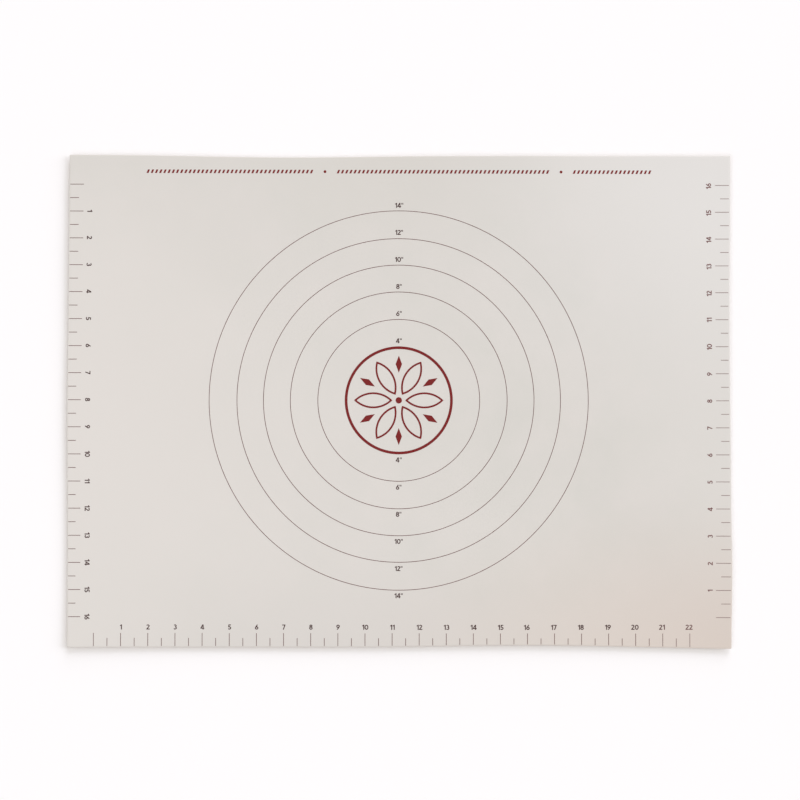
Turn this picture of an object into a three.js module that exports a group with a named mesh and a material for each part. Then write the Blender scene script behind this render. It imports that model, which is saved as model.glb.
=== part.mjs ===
// A pastry rolling mat: woven glass fabric between two coats of silicone rubber, closed in by a silicone rim,
// with measuring guides printed on the upper face in silicone ink.
// Millimetres, +Z up. The origin lies under the middle of the sheet, on the surface that carries it.
// +X runs along the long side, and -Y is the front, where the baker stands.

import * as THREE from "three";

// Sheet
const MAT_WIDTH = 622;
const MAT_DEPTH = 462;
const CORNER_RADIUS = 1;
const GRIP_COAT = 0.35;
const FABRIC_THICKNESS = 0.3;
const FACE_COAT = 0.35;
const RIM_WIDTH = 5;
const FABRIC_CORNER_RADIUS = 2;
const FABRIC_CLEARANCE = 0.3;
const CORNER_SEGMENTS = 3;

// Print: the ink film, its line widths, and how far the print's centre lies from the sheet's
const INK_THICKNESS = 0.05;
const FINE_LINE = 0.5;
const BOLD_LINE = 2.55;
const PRINT_SHIFT_X = -1;
const PRINT_SHIFT_Y = 0.8;
const INCH = 25.4;

// Guide rings, sized in inches across, as far out as the border for rulers and numerals lets them
const SMALLEST_RING_INCHES = 4;
const RING_STEP_INCHES = 2;
const RING_BORDER = 45;
const RING_SEGMENTS = 36;

// Rulers: ticks that run in from the sheet's edge, joined there by a hairline. Their inner ends lie on the
// print, so that its shift makes them longer or shorter.
const RULER_BORDER = 24.4;
const TICKS_PER_INCH = 2;
const TICK_INSET = 0.8;
const INCH_TICK = 12.2;
const SHORT_TICK = 7.6;
const HAIRLINE = 0.15;

// Rosette inside the smallest ring: outlined petals round a dot, with a lozenge between each two
const PETALS = 6;
const PETAL_START = 6;
const PETAL_LENGTH = 36;
const PETAL_WIDTH = 15;
const PETAL_LINE = 1.7;
const ROSETTE_DOT_RADIUS = 3;
const LOZENGE_CENTRE_RADIUS = 34;
const LOZENGE_LENGTH = 16;
const LOZENGE_WIDTH = 6;
const PETAL_SEGMENTS = 8;

// Border ornament along the back: rows of slanted bars with a dot between each two rows
const HATCH_INSET = 15.5;
const HATCH_PITCH = 3.93;
const HATCH_HEIGHT = 3.3;
const HATCH_BAR = 1.8;
const HATCH_SLANT = 1.4;
const HATCH_DOT_RADIUS = 1.3;
const HATCH_TO_DOT = 11.7;
const HATCH_ROWS = [
  { side: "left", bars: 40 },
  { side: "centre", bars: 51 },
  { side: "right", bars: 19 },
];
const DOT_SEGMENTS = 8;

// Colours and finishes
const FACE_SILICONE = { color: 0xded9d4, roughness: 0.55, metalness: 0 };
const GRIP_SILICONE = { color: 0xd6d1cb, roughness: 0.4, metalness: 0 };
const RIM_SILICONE = { color: 0xdad5cf, roughness: 0.5, metalness: 0 };
const GLASS_CLOTH = { color: 0xe9e6df, roughness: 0.8, metalness: 0 };
const FINE_INK = { color: 0x672827, roughness: 0.75, metalness: 0 };
const BOLD_INK = { color: 0x7b2626, roughness: 0.75, metalness: 0 };

const QUARTER_TURN = Math.PI / 2;
const FULL_TURN = 2 * Math.PI;

// Each layer starts exactly where the one under it ends, in the 32-bit numbers that a mesh holds.
const layerTop = (bottom, thickness) => Math.fround(Math.fround(thickness) + bottom);
const FABRIC_Z = layerTop(0, GRIP_COAT);
const FACE_Z = layerTop(FABRIC_Z, FABRIC_THICKNESS);
const PRINT_Z = layerTop(FACE_Z, FACE_COAT);

const mat = new THREE.Group();
const print = new THREE.Group();
print.position.z = PRINT_Z;
mat.add(print);

function plate(name, shape, thickness, finish, segments) {
  const settings = { depth: thickness, bevelEnabled: false, curveSegments: segments };
  const geometry = new THREE.ExtrudeGeometry(shape, settings);
  const mesh = new THREE.Mesh(geometry, new THREE.MeshStandardMaterial(finish));
  mesh.name = name;
  return mesh;
}

// One film of ink, lying on the face at (x, y) and turned about Z.
function film(name, shape, finish, segments, { x = 0, y = 0, turn = 0 } = {}) {
  const mesh = plate(name, shape, INK_THICKNESS, finish, segments);
  mesh.position.set(x, y, 0);
  mesh.rotation.z = turn;
  return mesh;
}

function roundedRectangle(path, width, depth, radius) {
  const x = width / 2 - radius;
  const y = depth / 2 - radius;
  path.absarc(x, y, radius, 0, QUARTER_TURN, false);
  path.absarc(-x, y, radius, QUARTER_TURN, 2 * QUARTER_TURN, false);
  path.absarc(-x, -y, radius, 2 * QUARTER_TURN, 3 * QUARTER_TURN, false);
  path.absarc(x, -y, radius, 3 * QUARTER_TURN, FULL_TURN, false);
  path.closePath();
  return path;
}

function disc(radius) {
  const shape = new THREE.Shape();
  shape.absarc(0, 0, radius, 0, FULL_TURN, false);
  return shape;
}

function annulus(outerRadius, innerRadius) {
  const shape = disc(outerRadius);
  const hole = new THREE.Path();
  hole.absarc(0, 0, innerRadius, 0, FULL_TURN, true);
  shape.holes.push(hole);
  return shape;
}

// Two equal arcs that meet in a point at each end, drawn in from the full lens by inset.
function lens(path, length, width, inset) {
  const radius = (length ** 2 + width ** 2) / (4 * width);
  const drop = radius - width / 2;
  const reach = Math.acos(drop / (radius - inset));
  path.absarc(0, -drop, radius - inset, QUARTER_TURN - reach, QUARTER_TURN + reach, false);
  path.absarc(0, drop, radius - inset, 3 * QUARTER_TURN - reach, 3 * QUARTER_TURN + reach, false);
  return path;
}

function lozenge(length, width) {
  const shape = new THREE.Shape();
  shape.moveTo(length / 2, 0);
  shape.lineTo(0, width / 2);
  shape.lineTo(-length / 2, 0);
  shape.lineTo(0, -width / 2);
  shape.closePath();
  return shape;
}

// Ticks that stand up from a hairline along X, with the zero tick at the origin. Each is longer by inward.
function comb(inches, inward) {
  const half = FINE_LINE / 2;
  const pitch = INCH / TICKS_PER_INCH;
  const last = inches * TICKS_PER_INCH;
  const shape = new THREE.Shape();
  shape.moveTo(-half, 0);
  shape.lineTo(last * pitch + half, 0);
  for (let tick = last; tick >= 0; tick -= 1) {
    const at = tick * pitch;
    const reach = inward + (tick % TICKS_PER_INCH === 0 ? INCH_TICK : SHORT_TICK);
    shape.lineTo(at + half, reach);
    shape.lineTo(at - half, reach);
    if (tick > 0) {
      shape.lineTo(at - half, HAIRLINE);
      shape.lineTo(at - pitch + half, HAIRLINE);
    }
  }
  shape.closePath();
  return shape;
}

const hatchLength = (bars) => (bars - 1) * HATCH_PITCH + HATCH_BAR;

// Slanted bars in a row along X from the origin, joined at mid-height by a hairline. The upper side of the row
// is its lower side turned half round.
function hatchRow(bars) {
  const lower = [];
  for (let bar = 0; bar < bars; bar += 1) {
    const left = bar * HATCH_PITCH;
    const right = left + HATCH_BAR;
    const foot = -HATCH_HEIGHT / 2;
    const waist = -HAIRLINE / 2;
    lower.push([left, waist], [left, foot], [right, foot], [right, waist]);
  }
  const slanted = lower.slice(1, -1).map(([x, y]) => new THREE.Vector2(x + (HATCH_SLANT * y) / HATCH_HEIGHT, y));
  const turned = slanted.map((point) => new THREE.Vector2(hatchLength(bars) - point.x, -point.y));
  return new THREE.Shape([...slanted, ...turned]);
}

function addSheet() {
  const fabricWidth = MAT_WIDTH - 2 * (RIM_WIDTH + FABRIC_CLEARANCE);
  const fabricDepth = MAT_DEPTH - 2 * (RIM_WIDTH + FABRIC_CLEARANCE);
  const openingWidth = fabricWidth + 2 * FABRIC_CLEARANCE;
  const openingDepth = fabricDepth + 2 * FABRIC_CLEARANCE;
  const openingRadius = FABRIC_CORNER_RADIUS + FABRIC_CLEARANCE;
  const outline = () => roundedRectangle(new THREE.Shape(), MAT_WIDTH, MAT_DEPTH, CORNER_RADIUS);
  const cut = roundedRectangle(new THREE.Shape(), fabricWidth, fabricDepth, FABRIC_CORNER_RADIUS);
  const frame = outline();
  frame.holes.push(roundedRectangle(new THREE.Path(), openingWidth, openingDepth, openingRadius));

  const grip = plate("grip_base", outline(), GRIP_COAT, GRIP_SILICONE, CORNER_SEGMENTS);
  const fabric = plate("glass_fabric", cut, FABRIC_THICKNESS, GLASS_CLOTH, CORNER_SEGMENTS);
  const rim = plate("edge_rim", frame, FABRIC_THICKNESS, RIM_SILICONE, CORNER_SEGMENTS);
  const face = plate("rolling_face", outline(), FACE_COAT, FACE_SILICONE, CORNER_SEGMENTS);
  fabric.position.z = FABRIC_Z;
  rim.position.z = FABRIC_Z;
  face.position.z = FACE_Z;
  mat.add(grip, fabric, rim, face);
}

// The smallest ring is bold, with its outer edge on its size. The others are fine lines along theirs.
function addGuideRings() {
  const largest = Math.floor((Math.min(MAT_WIDTH, MAT_DEPTH) - 2 * RING_BORDER) / INCH);
  for (let inches = SMALLEST_RING_INCHES; inches <= largest; inches += RING_STEP_INCHES) {
    const radius = (inches * INCH) / 2;
    const bold = inches === SMALLEST_RING_INCHES;
    const shape = bold
      ? annulus(radius, radius - BOLD_LINE)
      : annulus(radius + FINE_LINE / 2, radius - FINE_LINE / 2);
    const name = `guide_ring_${String(inches).padStart(2, "0")}in`;
    const place = { x: PRINT_SHIFT_X, y: PRINT_SHIFT_Y };
    print.add(film(name, shape, bold ? BOLD_INK : FINE_INK, RING_SEGMENTS, place));
  }
}

// The side rulers are centred on the rings: the left one counts forwards and the right one backwards.
function addRulers() {
  const frontInches = Math.floor((MAT_WIDTH - 2 * RULER_BORDER) / INCH);
  const sideInches = Math.floor((MAT_DEPTH - 2 * RULER_BORDER) / INCH);
  const halfSide = (sideInches * INCH) / 2;
  const edgeX = MAT_WIDTH / 2 - TICK_INSET;
  const edgeY = MAT_DEPTH / 2 - TICK_INSET;
  const front = { x: RULER_BORDER - MAT_WIDTH / 2, y: -edgeY };
  const left = { x: -edgeX, y: PRINT_SHIFT_Y + halfSide, turn: -QUARTER_TURN };
  const right = { x: edgeX, y: PRINT_SHIFT_Y - halfSide, turn: QUARTER_TURN };
  print.add(film("ruler_front", comb(frontInches, PRINT_SHIFT_Y), FINE_INK, 1, front));
  print.add(film("ruler_left", comb(sideInches, PRINT_SHIFT_X), FINE_INK, 1, left));
  print.add(film("ruler_right", comb(sideInches, -PRINT_SHIFT_X), FINE_INK, 1, right));
}

function addRosette() {
  const centre = new THREE.Group();
  centre.position.set(PRINT_SHIFT_X, PRINT_SHIFT_Y, 0);
  centre.add(film("rosette_dot", disc(ROSETTE_DOT_RADIUS), BOLD_INK, DOT_SEGMENTS));
  for (let i = 0; i < PETALS; i += 1) {
    const petal = lens(new THREE.Shape(), PETAL_LENGTH, PETAL_WIDTH, 0);
    petal.holes.push(lens(new THREE.Path(), PETAL_LENGTH, PETAL_WIDTH, PETAL_LINE));
    const petalPlace = { x: PETAL_START + PETAL_LENGTH / 2 };
    const petalSpoke = new THREE.Group();
    petalSpoke.rotation.z = (i * FULL_TURN) / PETALS;
    petalSpoke.add(film(`rosette_petal_${i + 1}`, petal, BOLD_INK, PETAL_SEGMENTS, petalPlace));

    const between = lozenge(LOZENGE_LENGTH, LOZENGE_WIDTH);
    const lozengeSpoke = new THREE.Group();
    lozengeSpoke.rotation.z = ((i + 0.5) * FULL_TURN) / PETALS;
    const lozengePlace = { x: LOZENGE_CENTRE_RADIUS };
    lozengeSpoke.add(film(`rosette_lozenge_${i + 1}`, between, BOLD_INK, 1, lozengePlace));
    centre.add(petalSpoke, lozengeSpoke);
  }
  print.add(centre);
}

function addBorderHatch() {
  const barred = HATCH_ROWS.reduce((sum, row) => sum + hatchLength(row.bars), 0);
  const length = barred + 2 * (HATCH_ROWS.length - 1) * HATCH_TO_DOT;
  const y = MAT_DEPTH / 2 - HATCH_INSET;
  let x = PRINT_SHIFT_X - length / 2;
  HATCH_ROWS.forEach((row, i) => {
    print.add(film(`hatch_${row.side}`, hatchRow(row.bars), BOLD_INK, 1, { x, y }));
    x += hatchLength(row.bars) + HATCH_TO_DOT;
    if (i < HATCH_ROWS.length - 1) {
      const name = `hatch_dot_after_${row.side}`;
      print.add(film(name, disc(HATCH_DOT_RADIUS), BOLD_INK, DOT_SEGMENTS, { x, y }));
    }
    x += HATCH_TO_DOT;
  });
}

addSheet();
addGuideRings();
addRulers();
addRosette();
addBorderHatch();

export default mat;
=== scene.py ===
"""A silicone pastry mat with printed inch guides, lying on a white floor and seen from straight above.

Shapes are worked out in millimetres, and become metres where a mesh is made.
"""
from math import cos, pi, radians, sin
import bmesh
import bpy
import numpy as np
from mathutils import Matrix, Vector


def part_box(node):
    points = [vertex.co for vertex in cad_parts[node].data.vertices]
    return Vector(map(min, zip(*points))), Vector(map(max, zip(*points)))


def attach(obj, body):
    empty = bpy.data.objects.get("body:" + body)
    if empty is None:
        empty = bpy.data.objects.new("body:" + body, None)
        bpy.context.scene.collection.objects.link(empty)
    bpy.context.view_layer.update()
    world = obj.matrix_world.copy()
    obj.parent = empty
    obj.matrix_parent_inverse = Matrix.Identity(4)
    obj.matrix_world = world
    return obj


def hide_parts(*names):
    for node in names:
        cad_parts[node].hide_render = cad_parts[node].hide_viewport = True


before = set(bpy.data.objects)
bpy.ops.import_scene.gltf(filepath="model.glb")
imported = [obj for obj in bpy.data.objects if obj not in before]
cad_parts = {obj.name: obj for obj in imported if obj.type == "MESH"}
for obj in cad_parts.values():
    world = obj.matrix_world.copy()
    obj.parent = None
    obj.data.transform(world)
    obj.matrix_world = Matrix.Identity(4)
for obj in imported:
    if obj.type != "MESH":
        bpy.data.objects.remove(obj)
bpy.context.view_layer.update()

MM = 0.001
INCH = 25.4


def box_mm(node):
    """Lowest and highest corner of a solid of the model, in mm."""
    low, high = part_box(node)
    return np.array(low) / MM, np.array(high) / MM


# Layers of the sheet
GRIP_LOW, GRIP_HIGH = box_mm("grip_base")
CLOTH_LOW, CLOTH_HIGH = box_mm("glass_fabric")
FACE_LOW, FACE_HIGH = box_mm("rolling_face")
HALF_X, HALF_Y, FACE_TOP = FACE_HIGH
CORNER_RADIUS = 1.0
CLOTH_CORNER_RADIUS = 2.0
RIM_WIDTH = 5.0

# Edge of the sheet: the upper coat thins towards the cut, and the cut's corners are rounded
EDGE_WIDTH = 2.4
EDGE_DROP = 0.06
NOSE_RADIUS = 0.2
RIM_BULGE = 0.06

# How the sheet lies: each edge's rise and the length of the waves along it, and how far in the rise starts
LEFT_RISE, LEFT_WAVE = 1.9, 330.0
FRONT_RISE, FRONT_WAVE = 1.85, 410.0
RIGHT_RISE, RIGHT_WAVE = 2.1, 290.0
BACK_RISE, BACK_WAVE = 2.2, 360.0
RISE_REACH = 200.0
WAVE_SHARE = 0.1
CORNER_POWER = 4
SWELL_RISE, SWELL_X, SWELL_Y = 0.35, 260.0, 210.0

# The edges were cut a little hollow, or full: depth, place along the edge and half-width of each hollow
LEFT_HOLLOWS = [(0.6, 190.0, 75.0), (0.7, 219.0, 13.0), (-0.8, -10.0, 66.0)]
FRONT_HOLLOWS = [(0.65, -165.0, 235.0), (2.4, 125.0, 110.0), (-0.7, 310.0, 45.0)]
RIGHT_HOLLOWS = [(1.6, 80.0, 105.0), (0.6, 224.0, 40.0), (-0.9, -157.0, 40.0)]
BACK_HOLLOWS = [(1.8, -112.0, 98.0), (0.6, -14.0, 230.0)]
HOLLOW_FADE = 8

# Mesh: spacing of the sheet's points, and the angle from which an edge is sharp
LOOP_STEP = 6.0
CORNER_STEPS = 8
EDGE_ROWS = np.array([0, 0.02, 0.06, 0.12, 0.2, 0.5, 0.9, 1.4, 2.2, 4, 7])
INNER_ROWS = 40
SHARP_ANGLE = radians(35)

# Print: the ink film, its line widths, the rings, smallest first, and how much larger than the model's the
# radius of each is
INK_THICKNESS = 0.05
FINE_LINE = 0.5
BOLD_LINE = 2.55
RING_NODES = sorted(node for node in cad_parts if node.startswith("guide_ring"))
RING_OFF = (-0.08, -0.22, 0.18, 0.03, -0.52, 0.18)
PETAL_LINE = 1.7
PETALS = 6
TICKS_PER_INCH = 2
TICK_ROWS = np.array([0, 0.06, 0.14, 0.3, 0.65, 1])
HATCH_PITCH = 3.93
HATCH_BAR = 1.8
HATCH_SLANT = 1.4
RING_STEPS = 360
PETAL_STEPS = 24
DOT_STEPS = 24

# Rulers, at even steps along each: how far the ticks are off the model's along it, how much longer they are
# inwards, and how far from their ends the middle of the numerals lies
TICK_OFF = {
    "front": (0.15, 0.2, 0.28, 0.05, -0.15),
    "left": (0.8, 0.05, -0.15, -0.15, -0.25),
    "right": (0, 0.1, 0, -0.1, -0.8),
}
TICK_LONGER = {
    "front": (-0.1, -0.2, -0.3, -0.3, -0.2),
    "left": (2.2, 1.1, -0.1, -0.25, 0),
    "right": (0.3, 0.2, 0.2, 0.9, 1.1),
}
NUMERAL_GAP = {
    "front": (5.6, 5.67, 5.67, 5.7, 5.95),
    "left": (5.9, 5.9, 6.4, 6.5, 6.45),
    "right": (5.5, 5.5, 5.95, 5.75, 6.05),
}

# How much shorter every other tick is, how far inside the edge the ticks end, and how far along the ruler the
# numerals are off their ticks, up to one of the inches and from it on
SHORT_TICK_LESS = {"front": 4.6, "left": 4.4, "right": 4.8}
TICK_INSET = {"front": 0.9, "left": 0.7, "right": 1.2}
NUMERAL_OFF = {"front": (0.2, 16, -0.7), "left": (-0.3, 5, -0.1), "right": (-0.3, 12, -0.75)}

# Numerals: their height, how far from its ring the middle of a label lies, how much wider they are than drawn
# below, and, on a height of 1, the width of the strokes and the space between two figures
NUMERAL_HEIGHT = 4.7
LABEL_HEIGHT, LABEL_GAP = 4.6, 5.1
STROKE = 0.17
MARK_STROKE = 0.12
SPACING = 0.07
WIDENING = 1.1
ARC_STEPS = 14

# Finishes: the size of the coat's clouds and grain, of the ink's uneven patches and of the cloth's rovings,
# and where along X the painted glare on the ink starts and ends. The real grain is too fine to show and is
# drawn coarser
CLOUD_SIZE = 70.0
GRAIN_SIZE, GRAIN_DEPTH = 1.5, 0.1
INK_PATCH_SIZE = 6.0
ROVING_WIDTH = 0.6
GLARE_INK_FROM, GLARE_INK_TO = 220.0, 290.0

# Camera, and light: each lamp's share of the light on a level sheet, its height and its turn from +X, in
# degrees, and an even light from all round for the rest
CAMERA_PLACE = (-5.37, -14.16, 1503.54)
CAMERA_TURN = (0.582, -0.211, 0.083)
CAMERA_LENS = 72.0
LAMPS = {
    "right_key": (0.2, 22.5, 13),
    "back_key": (0.225, 19.5, 76),
    "left_fill": (0.09, 43, 200),
    "front_fill": (0.075, 43, 250),
}
LAMP_SPREAD = radians(34)
AMBIENT = 1 - sum(share for share, _, _ in LAMPS.values())
FLOOR_SIZE = 8000.0
FLOOR_DROP = 0.1
FLOOR_TONE = (0.92, 0.91, 0.915, 1)
SEEN_FLOOR_TONE = (0.875, 0.9, 0.98, 1)
SEEN_FLOOR_GLOW = (0.135, 0.083, 0.011, 1)


# How the sheet lies


def curl(distance):
    """0 until the edge is nearer than RISE_REACH, then the square of the share of it that is used up."""
    return np.clip(1 - distance / RISE_REACH, 0, 1) ** 2


def wave(along, length):
    """1 plus a sine along an edge, WAVE_SHARE high."""
    return 1 + WAVE_SHARE * np.sin(2 * pi * along / length)


def lift(x, y):
    """Height of the sheet's underside over the floor: a curl at each edge, waved along it and met at the
    corners by the root of the sum of their powers, on a shallow swell, a sine in x times one in y."""
    left = LEFT_RISE * curl(HALF_X + x) * wave(y, LEFT_WAVE)
    right = RIGHT_RISE * curl(HALF_X - x) * wave(y, RIGHT_WAVE)
    front = FRONT_RISE * curl(HALF_Y + y) * wave(x, FRONT_WAVE)
    back = BACK_RISE * curl(HALF_Y - y) * wave(x, BACK_WAVE)
    swell = SWELL_RISE * (1 + np.sin(2 * pi * x / SWELL_X) * np.sin(2 * pi * y / SWELL_Y)) / 2
    return (np.stack([left, right, front, back]) ** CORNER_POWER).sum(axis=0) ** (1 / CORNER_POWER) + swell


def bells(along, hollows):
    """A sum of bell curves along an edge."""
    return sum(depth * np.exp(-(((along - place) / width) ** 2)) for depth, place, width in hollows)


def cut_edge(x, y):
    """Half-sizes of the sheet on the sides of x and y, less what was cut hollow there."""
    half_x = HALF_X - np.where(x > 0, bells(y, RIGHT_HOLLOWS), bells(y, LEFT_HOLLOWS))
    half_y = HALF_Y - np.where(y > 0, bells(x, BACK_HOLLOWS), bells(x, FRONT_HOLLOWS))
    return half_x, half_y


def nose(inset):
    """Drop of a quarter circle of NOSE_RADIUS at a distance inside the edge."""
    inside = np.clip(NOSE_RADIUS - inset, 0, NOSE_RADIUS)
    return NOSE_RADIUS - np.sqrt(NOSE_RADIUS**2 - inside**2)


def thinning(inset):
    """How much lower the face is at a distance inside its edge: a parabola, and the nose at the very edge."""
    return EDGE_DROP * np.clip(1 - inset / EDGE_WIDTH, 0, 1) ** 2 + nose(inset)


def face_height(x, y):
    """Height of the printed face: its top, lifted with the sheet and thinned towards the nearest edge."""
    half_x, half_y = cut_edge(x, y)
    inset = np.minimum(half_x - np.abs(x), half_y - np.abs(y))
    return FACE_TOP + lift(x, y) - thinning(inset)


# Closed skins


def skin(grid, ring=False):
    """Points and faces of closed skins. grid is (copies, rows, columns, 3), and its columns close round. Its
    rows close too where ring is true, and otherwise a fan of triangles closes the first and the last row."""
    copies, rows, columns, _ = grid.shape
    at = np.arange(copies * rows * columns).reshape(copies, rows, columns)
    beside = np.roll(at, -1, axis=2)
    points = grid.reshape(-1, 3)
    if ring:
        quads = np.stack([at, beside, np.roll(beside, -1, axis=1), np.roll(at, -1, axis=1)], axis=-1)
        return points, quads.reshape(-1, 4).tolist()
    quads = np.stack([at[:, :-1], beside[:, :-1], beside[:, 1:], at[:, 1:]], axis=-1)
    tips = len(points) + np.arange(2 * copies).reshape(copies, 2, 1)
    tips = np.broadcast_to(tips, (copies, 2, columns))
    first = np.stack([at[:, 0], tips[:, 0], beside[:, 0]], axis=-1)
    last = np.stack([at[:, -1], beside[:, -1], tips[:, 1]], axis=-1)
    fans = np.concatenate([first, last]).reshape(-1, 3)
    points = np.concatenate([points, grid[:, [0, -1]].mean(axis=2).reshape(-1, 3)])
    return points, quads.reshape(-1, 4).tolist() + fans.tolist()


def mesh_of(name, points, faces):
    """A mesh from points and faces, with its faces turned outwards by the sign of its volume."""
    mesh = bpy.data.meshes.new(name)
    mesh.from_pydata(points, [], faces)
    shell = bmesh.new()
    shell.from_mesh(mesh)
    inside_out = shell.calc_volume(signed=True) < 0
    shell.free()
    if inside_out:
        mesh.flip_normals()
    return mesh


def piece(name, points, faces, finish, stands_for=()):
    """An object of the part, from points in mm. finish is its material and a slot name, and the slot is not
    used.
    """
    material, slot = finish
    mesh = mesh_of(name, points * MM, faces)
    mesh.shade_smooth()
    mesh.set_sharp_from_angle(angle=SHARP_ANGLE)
    mesh.materials.append(material)
    made = bpy.data.objects.new(name, mesh)
    bpy.context.scene.collection.objects.link(made)
    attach(made, "root")
    if stands_for:
        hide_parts(*stands_for)
    return made


def circle(angles):
    """Points of the unit circle at angles."""
    return np.stack([np.cos(angles), np.sin(angles)], axis=-1)


def whole_turn(steps):
    """Points of the unit circle at even steps all round."""
    return circle(np.linspace(0, 2 * pi, steps, endpoint=False))


# Sheet


def rounded_outline(half_x, half_y, radius):
    """Points round a rectangle, anticlockwise: a quarter circle at each corner, even steps on each side."""
    bend = np.linspace(0, pi / 2, CORNER_STEPS + 1)
    centres = np.array([(1, 1), (-1, 1), (-1, -1), (1, -1)]) * (half_x - radius, half_y - radius)
    corners = [centre + radius * circle(bend + turn * pi / 2) for turn, centre in enumerate(centres)]
    loop = []
    for corner, following in zip(corners, corners[1:] + corners[:1]):
        steps = round(np.linalg.norm(following[0] - corner[-1]) / LOOP_STEP)
        loop += [corner, np.linspace(corner[-1], following[0], steps, endpoint=False)[1:]]
    return np.concatenate(loop)


def loops_at(half_x, half_y, radius, insets):
    """Loops (rows, columns, 2) that follow the outline at each inset, drawn in where it was cut hollow."""
    scale = 1 - np.outer(insets, (1 / half_x, 1 / half_y))
    loops = rounded_outline(half_x, half_y, radius) * scale[:, None]
    cut = np.stack(cut_edge(loops[..., 0], loops[..., 1]), axis=-1)
    fade = np.abs(loops / (half_x, half_y)) ** HOLLOW_FADE
    return loops - np.sign(loops) * ((HALF_X, HALF_Y) - cut) * fade


def raised(loops, levels):
    """The loops at their levels over the sheet's underside, lifted with the sheet."""
    heights = levels[:, None] + lift(loops[..., 0], loops[..., 1])
    return np.concatenate([loops, heights[..., None]], axis=-1)


def even(inset):
    """No drop at any distance inside the edge."""
    return np.zeros_like(inset)


def layer(half_x, half_y, radius, low, high, low_drop, high_drop):
    """One coat or cloth: loops from the middle of its underside out to the edge and back to the middle of its
    top. low_drop and high_drop say how much each face is drawn in towards the other at an inset."""
    shares = np.linspace(1, 0, INNER_ROWS, endpoint=False)[1:]
    edge = loops_at(half_x, half_y, radius, EDGE_ROWS)
    loops = np.concatenate([edge, edge[-1] * shares[:, None, None]])
    insets = np.concatenate([EDGE_ROWS, np.full(len(shares), half_y)])
    under = raised(loops, low + low_drop(insets))
    over = raised(loops, high - high_drop(insets))
    return skin(np.concatenate([under[::-1], over])[None])


def grip_base(finish):
    """The lower coat, with a rounded lower edge."""
    solid = layer(HALF_X, HALF_Y, CORNER_RADIUS, GRIP_LOW[2], GRIP_HIGH[2], nose, even)
    return piece("grip_coat", *solid, finish, ["grip_base"])


def glass_cloth(finish):
    """The woven cloth between the two coats."""
    half_x, half_y, top = CLOTH_HIGH
    solid = layer(half_x, half_y, CLOTH_CORNER_RADIUS, CLOTH_LOW[2], top, even, even)
    return piece("glass_cloth", *solid, finish, ["glass_fabric"])


def edge_rim(finish):
    """The silicone that closes the cloth's cut edge: a flat section carried round, bulging outwards."""
    low, high = CLOTH_LOW[2], CLOTH_HIGH[2]
    bulge = (-RIM_BULGE, (low + high) / 2)
    section = np.array([(0, low), bulge, (0, high), (RIM_WIDTH, high), (RIM_WIDTH, low)])
    loops = loops_at(HALF_X, HALF_Y, CORNER_RADIUS, section[:, 0])
    return piece("rim_seal", *skin(raised(loops, section[:, 1])[None], ring=True), finish, ["edge_rim"])


def rolling_face(finish):
    """The upper coat, thinned towards its edge."""
    solid = layer(HALF_X, HALF_Y, CORNER_RADIUS, FACE_LOW[2], FACE_TOP, even, thinning)
    return piece("face_coat", *solid, finish, ["rolling_face"])


# Print


def on_face(flat, level):
    """Flat points (..., 2) laid on the printed face, level mm over it."""
    heights = face_height(flat[..., 0], flat[..., 1]) + level
    return np.concatenate([flat, heights[..., None]], axis=-1)


def band(outer, inner):
    """A film between two loops: a flat section carried round."""
    loops = np.stack([outer, outer, inner, inner])
    levels = np.array([0, INK_THICKNESS, INK_THICKNESS, 0])
    return skin(on_face(loops, levels[:, None])[None], ring=True)


def spots(loops):
    """A film inside each loop of (copies, columns, 2)."""
    return skin(np.stack([on_face(loops, 0), on_face(loops, INK_THICKNESS)], axis=1))


def dot(node):
    """A round film in the place and size of a node's box."""
    low, high = box_mm(node)
    outline = (low + high)[:2] / 2 + (high - low)[0] / 2 * whole_turn(DOT_STEPS)
    return spots(outline[None])


def strips(centre, across):
    """A film along each centre line of (copies, rows, 2), as wide on each side as across says."""
    left, right = centre - across, centre + across
    columns = np.stack([left, right, right, left], axis=2)
    return skin(on_face(columns, np.array([0, 0, INK_THICKNESS, INK_THICKNESS])))


def guide_rings(fine, bold):
    """Rings on their diameters: the smallest bold, inside its diameter, and the others fine."""
    turn = whole_turn(RING_STEPS)
    made = []
    for name, off in zip(RING_NODES, RING_OFF):
        low, high = box_mm(name)
        centre, radius = (low + high)[:2] / 2, (high - low)[0] / 2 + off
        line, finish = (BOLD_LINE, bold) if name == RING_NODES[0] else (FINE_LINE, fine)
        film = band(centre + radius * turn, centre + (radius - line) * turn)
        made.append(piece(f"ink_{name}", *film, finish, [name]))
    return made


def even_steps(values, count):
    """count values from a few that are given at even steps, straight between them."""
    return np.interp(np.linspace(0, 1, count), np.linspace(0, 1, len(values)), values)


def ticks(tips, inward, inset, short_less):
    """Strips from each tip out to an inset from the sheet's edge. Every other one is shorter."""
    short = np.arange(len(tips)) % TICKS_PER_INCH != 0
    tips = tips - np.outer(short * short_less, inward)
    cut = np.stack(cut_edge(*tips.T), axis=-1)
    room = (cut - np.abs(tips)) @ np.abs(inward) - inset
    run = np.outer(room, inward)
    centre = (tips - run)[:, None] + TICK_ROWS[:, None] * run[:, None]
    across = np.array([inward[1], inward[0]]) * FINE_LINE / 2
    return strips(centre, across)


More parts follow.
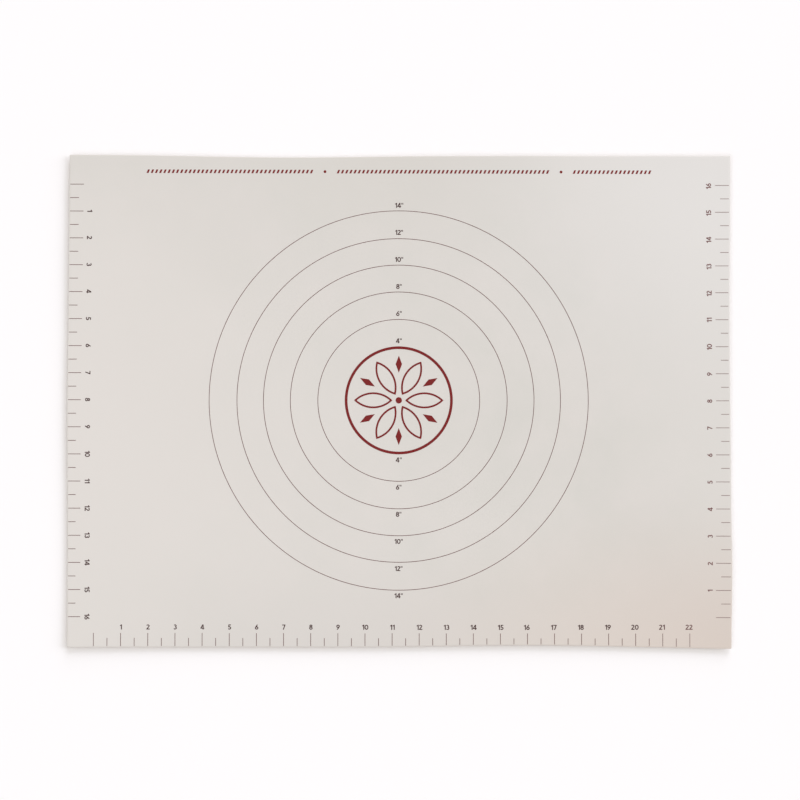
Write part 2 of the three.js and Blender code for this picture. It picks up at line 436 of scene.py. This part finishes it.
def rulers(fine, dark, figures):
    """Ticks and numerals along three edges. Each ruler has the corner of its box where its zero tick ends,
    the one where its last tick ends, and the way inwards, which is also how its numerals stand up."""
    half = FINE_LINE / 2
    front_low, front_high = box_mm("ruler_front")
    left_low, left_high = box_mm("ruler_left")
    right_low, right_high = box_mm("ruler_right")
    ends = {
        "front": ((front_low[0] + half, front_high[1]), (front_high[0] - half, front_high[1]), (0, 1)),
        "left": ((left_high[0], left_high[1] - half), (left_high[0], left_low[1] + half), (1, 0)),
        "right": ((right_low[0], right_low[1] + half), (right_low[0], right_high[1] - half), (-1, 0)),
    }
    made = []
    for side, (zero, last, inward) in ends.items():
        zero, last, inward = np.array(zero), np.array(last), np.array(inward)
        length = np.linalg.norm(last - zero)
        along = (last - zero) / length
        count = round(length / INCH) * TICKS_PER_INCH + 1
        tips = np.linspace(zero, last, count) + np.outer(even_steps(TICK_OFF[side], count), along)
        tips += np.outer(even_steps(TICK_LONGER[side], count), inward)
        film = ticks(tips, inward, TICK_INSET[side], SHORT_TICK_LESS[side])
        made.append(piece(f"ticks_{side}", *film, fine, [f"ruler_{side}"]))
        inches = np.arange(1, count // TICKS_PER_INCH + 1)
        early, change, late = NUMERAL_OFF[side]
        places = tips + np.outer(even_steps(NUMERAL_GAP[side], count), inward)
        places = places[TICKS_PER_INCH::TICKS_PER_INCH]
        places = places + np.outer(np.where(inches < change, early, late), along)
        labels = [(str(inch), place) for inch, place in zip(inches, places)]
        made.append(piece(f"numerals_{side}", *lettered(labels, figures, inward, NUMERAL_HEIGHT), dark))
    return made


def ring_labels(dark, figures):
    """Each ring's size in inches, above and below it."""
    labels = []
    for name in RING_NODES:
        low, high = box_mm(name)
        middle = (low[0] + high[0]) / 2
        text = f'{round((high - low)[0] / INCH)}"'
        labels += [(text, (middle, high[1] + LABEL_GAP)), (text, (middle, low[1] - LABEL_GAP))]
    return piece("ring_labels", *lettered(labels, figures, np.array([0, 1]), LABEL_HEIGHT), dark)


def rosette(bold):
    """Outlined petals round a dot, with a lozenge between each two. The first petal and the second lozenge
    lie along an axis, so their boxes give the sizes."""
    low, high = box_mm(RING_NODES[0])
    centre = (low + high)[:2] / 2
    petal_low, petal_high = box_mm("rosette_petal_1")
    lozenge_low, lozenge_high = box_mm("rosette_lozenge_2")
    petal_size = (petal_high - petal_low)[:2]
    petal_middle = ((petal_low + petal_high) / 2 - [*centre, 0])[0]
    lozenge_size = (lozenge_high - lozenge_low)[1::-1]
    lozenge_middle = ((lozenge_low + lozenge_high) / 2 - [*centre, 0])[1]
    outer, inner = lens(*petal_size, 0), lens(*petal_size, PETAL_LINE)
    diamond = circle(np.arange(4) * pi / 2) * lozenge_size / 2
    made = []
    for i in range(PETALS):
        spoke = 2 * pi * i / PETALS
        between = spoke + pi / PETALS
        film = band(spread(outer, petal_middle, spoke) + centre, spread(inner, petal_middle, spoke) + centre)
        made.append(piece(f"petal_{i + 1}", *film, bold, [f"rosette_petal_{i + 1}"]))
        film = spots((spread(diamond, lozenge_middle, between) + centre)[None])
        made.append(piece(f"lozenge_{i + 1}", *film, bold, [f"rosette_lozenge_{i + 1}"]))
    made.append(piece("rosette_centre", *dot("rosette_dot"), bold, ["rosette_dot"]))
    return made


def spread(flat, out, angle):
    """Flat points moved out along X, then turned about the origin."""
    c, s = cos(angle), sin(angle)
    return (flat + (out, 0)) @ np.array([(c, s), (-s, c)])


def lens(length, width, inset):
    """Two equal arcs that meet in a point at each end, drawn in from the full lens by inset."""
    radius = (length**2 + width**2) / (4 * width)
    drop = radius - width / 2
    reach = np.arccos(drop / (radius - inset))
    sweep = np.linspace(pi / 2 - reach, pi / 2 + reach, PETAL_STEPS, endpoint=False)
    upper = (radius - inset) * circle(sweep) - (0, drop)
    return np.concatenate([upper, -upper])


def border_hatch(bold):
    """Rows of slanted bars, parallelograms as high as the row's box, with a dot between each two rows."""
    made = []
    for side in ("left", "centre", "right"):
        row = f"hatch_{side}"
        low, high = box_mm(row)
        width, height = (high - low)[:2]
        bars = round((width - HATCH_SLANT - HATCH_BAR) / HATCH_PITCH) + 1
        foot = np.array([(0, 0), (HATCH_BAR, 0)])
        bar = np.concatenate([foot, foot[::-1] + (HATCH_SLANT, height)]) + low[:2]
        places = np.outer(np.arange(bars), (HATCH_PITCH, 0))
        made.append(piece(f"border_{side}", *spots(places[:, None] + bar), bold, [row]))
    for side in ("left", "centre"):
        node = f"hatch_dot_after_{side}"
        made.append(piece(f"border_dot_after_{side}", *dot(node), bold, [node]))
    return made


# Numerals


def arc(cx, cy, rx, ry, start, end):
    """Points of an ellipse's arc, from one angle to another in degrees."""
    return circle(np.radians(np.linspace(start, end, ARC_STEPS))) * (rx, ry) + (cx, cy)


def stroke(path, width=STROKE, closed=False):
    """A flat bar 1 high carried along a path, square to it: each point moves out along the mean of the
    normals beside it, lengthened at corners."""
    path = np.array(path, float)
    if closed:
        before, after = path - np.roll(path, 1, axis=0), np.roll(path, -1, axis=0) - path
    else:
        runs = np.diff(path, axis=0)
        before, after = np.concatenate([runs[:1], runs]), np.concatenate([runs, runs[-1:]])
    before /= np.linalg.norm(before, axis=1, keepdims=True)
    after /= np.linalg.norm(after, axis=1, keepdims=True)
    mean = before + after
    mean /= np.linalg.norm(mean, axis=1, keepdims=True)
    reach = width / 2 / np.einsum("ij,ij->i", mean, after)
    across = np.stack([-mean[:, 1], mean[:, 0]], axis=-1) * reach[:, None]
    left, right = path + across, path - across
    flat = np.stack([left, right, right, left], axis=1)
    heights = np.broadcast_to(np.array([0, 0, 1, 1])[:, None], (len(path), 4, 1))
    return skin(np.concatenate([flat, heights], axis=-1)[None], ring=closed)


def ellipse(cx, cy, rx, ry):
    """A closed stroke round an ellipse."""
    return stroke(arc(cx, cy, rx, ry, 0, 360)[:-1], closed=True)


def joined(name, strokes):
    """Points, triangles and width of the union of overlapping strokes."""
    objects = []
    for part in strokes:
        made = bpy.data.objects.new(name, mesh_of(name, *part))
        bpy.context.scene.collection.objects.link(made)
        objects.append(made)
    whole, others = objects[0], objects[1:]
    for other in others:
        union = whole.modifiers.new(name, "BOOLEAN")
        union.operation, union.solver, union.object = "UNION", "MANIFOLD", other
    shown = whole.evaluated_get(bpy.context.evaluated_depsgraph_get())
    mesh = bpy.data.meshes.new_from_object(shown)
    points = np.empty(3 * len(mesh.vertices))
    mesh.vertices.foreach_get("co", points)
    points = points.reshape(-1, 3)
    points[:, 0] = WIDENING * (points[:, 0] - points[:, 0].min())
    mesh.calc_loop_triangles()
    triangles = np.empty(3 * len(mesh.loop_triangles), np.int32)
    mesh.loop_triangles.foreach_get("vertices", triangles)
    bpy.data.meshes.remove(mesh)
    for made in objects:
        bpy.data.objects.remove(made)
    return points, triangles.reshape(-1, 3), points[:, 0].max()


def figure_shapes():
    """Plain bold figures from straight and round strokes, and the inch mark."""
    edge = STROKE / 2
    top = 1 - edge
    shapes = {
        "0": [ellipse(0.36, 0.5, 0.26, top - 0.5)],
        "1": [stroke([(0.29, 0), (0.29, 1)]), stroke([(0.03, 0.72), (0.28, 0.9)])],
        "2": [
            stroke([*arc(0.29, top - 0.2, 0.2, 0.2, 165, -35), (0.1, edge + 0.02)]),
            stroke([(0, edge), (0.6, edge)]),
        ],
        "3": [
            stroke(arc(0.28, 0.715, 0.185, top - 0.715, 150, -90)),
            stroke(arc(0.28, 0.3, 0.225, 0.3 - edge, 90, -155)),
        ],
        "4": [
            stroke([(0.44, 0.98), (0.08, 0.3)]),
            stroke([(0, 0.27), (0.68, 0.27)]),
            stroke([(0.47, 0), (0.47, 1)]),
        ],
        "5": [
            stroke([(0.14, top), (0.55, top)]),
            stroke([(0.19, 0.99), (0.14, 0.49)]),
            stroke(arc(0.27, 0.315, 0.235, 0.315 - edge, 130, -150)),
        ],
        "6": [ellipse(0.33, 0.32, 0.225, 0.32 - edge), stroke([(0.48, 0.98), (0.14, 0.45)])],
        "7": [stroke([(0, top), (0.6, top)]), stroke([(0.52, 0.95), (0.2, 0)])],
        "8": [ellipse(0.33, 0.74, 0.19, top - 0.74), ellipse(0.33, 0.3, 0.225, 0.3 - edge)],
        "9": [ellipse(0.33, 0.68, 0.225, 0.32 - edge), stroke([(0.52, 0.55), (0.18, 0.02)])],
        '"': [stroke([(x, 0.66), (x, 1)], MARK_STROKE) for x in (0.08, 0.29)],
    }
    return {key: joined(key, strokes) for key, strokes in shapes.items()}


def lettered(labels, figures, up, height):
    """Points and faces of labels, each a text and its middle, that stand up along up on the printed face."""
    right = np.array([up[1], -up[0]])
    points, faces, used = [], [], 0
    for text, middle in labels:
        length = sum(figures[key][2] for key in text) + SPACING * (len(text) - 1)
        start = -length / 2
        for key in text:
            shape, triangles, width = figures[key]
            flat = np.outer(shape[:, 0] + start, right) + np.outer(shape[:, 1] - 0.5, up)
            laid = on_face(np.array(middle) + height * flat, 0)
            laid[:, 2] += shape[:, 2] * INK_THICKNESS
            points.append(laid)
            faces.append(triangles + used)
            used += len(shape)
            start += width + SPACING
    return np.concatenate(points), np.concatenate(faces).tolist()


# Materials


def linear(code):
    """An sRGB hex colour as linear red, green, blue and alpha."""
    srgb = np.array([code >> 16, code >> 8 & 255, code & 255]) / 255
    return (*np.where(srgb <= 0.04045, srgb / 12.92, ((srgb + 0.055) / 1.055) ** 2.4), 1.0)


def add(tree, kind, inputs=None, **settings):
    """Adds a node with its settings. inputs are values, or another node's outputs to link."""
    made = tree.nodes.new(kind)
    for field, value in settings.items():
        setattr(made, field, value)
    for socket, value in (inputs or {}).items():
        if isinstance(value, bpy.types.NodeSocket):
            tree.links.new(value, made.inputs[socket])
        else:
            made.inputs[socket].default_value = value
    return made


def new_material(name):
    """An empty material and its node tree."""
    material = bpy.data.materials.new(name)
    material.use_nodes = True
    material.node_tree.nodes.clear()
    return material, material.node_tree


def blend(tree, share, first, second):
    """The first colour, and the second where share is 1."""
    return add(tree, "ShaderNodeMix", {"Factor": share, "A": first, "B": second}, data_type="RGBA").outputs[2]


def coated_silicone(name, light, dark, painted_light_patches, roughness):
    """Silicone rubber, knife-coated on glass cloth and cured matt: a satin skin, clouded a little where the
    coat is thicker or thinner. Over this, broad soft patches of painted light and shade, each a centre, its
    reach in x and y, in mm, and its colour, make the tone lighter or darker."""
    material, tree = new_material(name)
    place = add(tree, "ShaderNodeTexCoord").outputs["Object"]
    clouds = {"Vector": place, "Scale": 1 / (CLOUD_SIZE * MM), "Detail": 4.0, "Roughness": 0.6}
    cloud = add(tree, "ShaderNodeTexNoise", clouds)
    ends = {"Value": cloud.outputs["Fac"], "From Min": 0.3, "From Max": 0.7}
    clouded = add(tree, "ShaderNodeMapRange", ends)
    tone = blend(tree, clouded.outputs["Result"], linear(light), linear(dark))
    # Painted light and shade: each patch blends the tone towards its colour, fully at its centre and not at
    # all at its reach.
    for centre, reach, colour in painted_light_patches:
        scale = 1 / (np.array([*reach, 1]) * MM)
        offset = -np.array([*centre, 0]) * MM * scale
        terms = {0: place, 1: scale * (1, 1, 0), 2: offset}
        apart = add(tree, "ShaderNodeVectorMath", terms, operation="MULTIPLY_ADD")
        far = add(tree, "ShaderNodeVectorMath", {0: apart.outputs["Vector"]}, operation="LENGTH")
        ends = {"Value": far.outputs["Value"], "From Min": 1.0, "From Max": 0.0}
        near = add(tree, "ShaderNodeMapRange", ends, interpolation_type="SMOOTHSTEP")
        tone = blend(tree, near.outputs["Result"], tone, linear(colour))
    grains = {"Vector": place, "Scale": 1 / (GRAIN_SIZE * MM), "Detail": 2.0}
    grain = add(tree, "ShaderNodeTexNoise", grains).outputs["Fac"]
    ends = {"Value": grain, "To Min": roughness - 0.05, "To Max": roughness + 0.05}
    rough = add(tree, "ShaderNodeMapRange", ends)
    bump = add(tree, "ShaderNodeBump", {"Height": grain, "Strength": 0.1, "Distance": GRAIN_DEPTH * MM})
    skin_look = {"Base Color": tone, "Roughness": rough.outputs["Result"], "IOR": 1.41}
    shader = add(tree, "ShaderNodeBsdfPrincipled", {**skin_look, "Normal": bump.outputs["Normal"]})
    add(tree, "ShaderNodeOutputMaterial", {"Surface": shader.outputs["BSDF"]})
    return material


def screen_ink(name, light, dark, glare_tone):
    """Silicone ink, screen-printed and cured: dead matt and a little uneven in density. Along the right edge
    its tone turns lighter, which is painted glare."""
    material, tree = new_material(name)
    place = add(tree, "ShaderNodeTexCoord").outputs["Object"]
    patches = {"Vector": place, "Scale": 1 / (INK_PATCH_SIZE * MM), "Detail": 3.0}
    density = add(tree, "ShaderNodeTexNoise", patches)
    tone = blend(tree, density.outputs["Fac"], linear(light), linear(dark))
    # Painted glare: towards the right edge the tone turns to a lighter colour.
    across = add(tree, "ShaderNodeSeparateXYZ", {"Vector": place}).outputs["X"]
    ends = {"Value": across, "From Min": GLARE_INK_FROM * MM, "From Max": GLARE_INK_TO * MM}
    right = add(tree, "ShaderNodeMapRange", ends)
    tone = blend(tree, right.outputs["Result"], tone, linear(glare_tone))
    matt = {"Base Color": tone, "Roughness": 0.75, "IOR": 1.41, "Specular IOR Level": 0.2}
    shader = add(tree, "ShaderNodeBsdfPrincipled", matt)
    add(tree, "ShaderNodeOutputMaterial", {"Surface": shader.outputs["BSDF"]})
    return material


def woven_glass(name):
    """Plain-woven glass cloth: white rovings over and under."""
    material, tree = new_material(name)
    place = add(tree, "ShaderNodeTexCoord").outputs["Object"]
    rovings = {"Color1": linear(0xEDEAE3), "Color2": linear(0xDAD6CC), "Scale": 1 / (ROVING_WIDTH * MM)}
    weave = add(tree, "ShaderNodeTexChecker", {"Vector": place, **rovings})
    cloth_look = {"Base Color": weave.outputs["Color"], "Roughness": 0.8, "IOR": 1.52}
    shader = add(tree, "ShaderNodeBsdfPrincipled", cloth_look)
    add(tree, "ShaderNodeOutputMaterial", {"Surface": shader.outputs["BSDF"]})
    return material


# Stage


def seen_directly(tree):
    """1 for rays from the camera, a reflection or a refraction, which see the white background."""
    rays = add(tree, "ShaderNodeLightPath").outputs
    seen = rays["Is Camera Ray"]
    for other in ("Is Glossy Ray", "Is Transmission Ray"):
        seen = add(tree, "ShaderNodeMath", {0: seen, 1: rays[other]}, operation="MAXIMUM").outputs[0]
    return seen


def white_floor():
    """A matt white floor. Where it is looked at, it glows by what its tone lacks, more in red than in blue,
    so that it reaches white in the open, and the mat's shadow is as warm as the mat."""
    material, tree = new_material("white_floor")
    seen = seen_directly(tree)
    emission = add(tree, "ShaderNodeEmission", {"Color": SEEN_FLOOR_GLOW, "Strength": seen})
    diffuse = add(tree, "ShaderNodeBsdfDiffuse", {"Color": blend(tree, seen, FLOOR_TONE, SEEN_FLOOR_TONE)})
    both = add(tree, "ShaderNodeAddShader", {0: diffuse.outputs[0], 1: emission.outputs[0]})
    add(tree, "ShaderNodeOutputMaterial", {"Surface": both.outputs[0]})
    mesh = bpy.data.meshes.new("floor")
    half = FLOOR_SIZE / 2
    corners = np.array([(-half, -half), (half, -half), (half, half), (-half, half)])
    corners = np.concatenate([corners, np.full((4, 1), -FLOOR_DROP)], axis=1)
    mesh.from_pydata(corners * MM, [], [(0, 1, 2, 3)])
    mesh.materials.append(material)
    floor = bpy.data.objects.new("floor", mesh)
    bpy.context.scene.collection.objects.link(floor)


def white_world():
    """White where it is looked at, and an even light of AMBIENT elsewhere."""
    world = bpy.data.worlds.new("white_studio")
    world.use_nodes = True
    tree = world.node_tree
    tree.nodes.clear()
    ends = {"Value": seen_directly(tree), "To Min": AMBIENT, "To Max": 1.0}
    strength = add(tree, "ShaderNodeMapRange", ends).outputs["Result"]
    background = add(tree, "ShaderNodeBackground", {"Color": (1, 1, 1, 1), "Strength": strength})
    add(tree, "ShaderNodeOutputWorld", {"Surface": background.outputs[0]})
    bpy.context.scene.world = world


def soft_lamps():
    """Broad lights from far off, one to each side."""
    for name, (share, height, turn) in LAMPS.items():
        height, turn = radians(height), radians(turn)
        lamp = bpy.data.lights.new(name, "SUN")
        lamp.angle = LAMP_SPREAD
        lamp.energy = share * pi / sin(height)
        made = bpy.data.objects.new(name, lamp)
        made.location = (cos(height) * cos(turn), cos(height) * sin(turn), sin(height))
        made.rotation_euler = (-made.location).to_track_quat("-Z", "Y").to_euler()
        bpy.context.scene.collection.objects.link(made)


def camera():
    """The camera over the mat, at the photograph's place and angle."""
    made = bpy.data.objects.new("camera", bpy.data.cameras.new("camera"))
    made.data.lens = CAMERA_LENS
    made.location = np.array(CAMERA_PLACE) * MM
    made.rotation_euler = np.radians(CAMERA_TURN)
    bpy.context.scene.collection.objects.link(made)
    bpy.context.scene.camera = made


bpy.context.scene.view_settings.view_transform = "Standard"
camera()
white_world()
white_floor()
soft_lamps()

# Painted light and shade on the face: lighter at the left, the right middle and the top right, darker at the
# top and bottom middle, and darker and warmer at the bottom right.
face_painted_light = [
    ((-330, -30), (480, 440), 0xE0DAD5),
    ((10, 245), (240, 120), 0xD9D4CE),
    ((-40, -250), (330, 130), 0xD8D2CD),
    ((345, 20), (190, 330), 0xDED9D4),
    ((310, 240), (330, 330), 0xE4E0DD),
    ((330, -245), (410, 180), 0xD8CBC2),
]
face_finish = coated_silicone("matt_coated_silicone", 0xDDD7D2, 0xD7D3CD, face_painted_light, 0.55), "face_silicone"
grip_finish = coated_silicone("tacky_coated_silicone", 0xDAD5CF, 0xD2CDC7, [], 0.4), "grip_silicone"
rim_finish = coated_silicone("trimmed_silicone", 0xDDD8D2, 0xD6D1CB, [], 0.5), "rim_silicone"
cloth_finish = woven_glass("plain_woven_glass"), "glass_fabric"

# The ink is paler in fine lines, dark in figures, and red in the bold ring and the ornaments. The third
# colour of each is painted glare along the right edge, and for the bold ink it is the same red
fine_finish = screen_ink("thin_screen_ink", 0x5E2A29, 0x582524, 0x866A68), "fine_ink"
dark_finish = screen_ink("dark_screen_ink", 0x452A29, 0x402524, 0x7A5654), "fine_ink"
bold_finish = screen_ink("red_screen_ink", 0x7E2828, 0x772424, 0x7E2828), "bold_ink"

figures = figure_shapes()
grip = grip_base(grip_finish)
cloth = glass_cloth(cloth_finish)
rim = edge_rim(rim_finish)
face = rolling_face(face_finish)
prints = guide_rings(fine_finish, bold_finish)
prints += rulers(fine_finish, dark_finish, figures)
prints += [ring_labels(dark_finish, figures)]
prints += rosette(bold_finish)
prints += border_hatch(bold_finish)
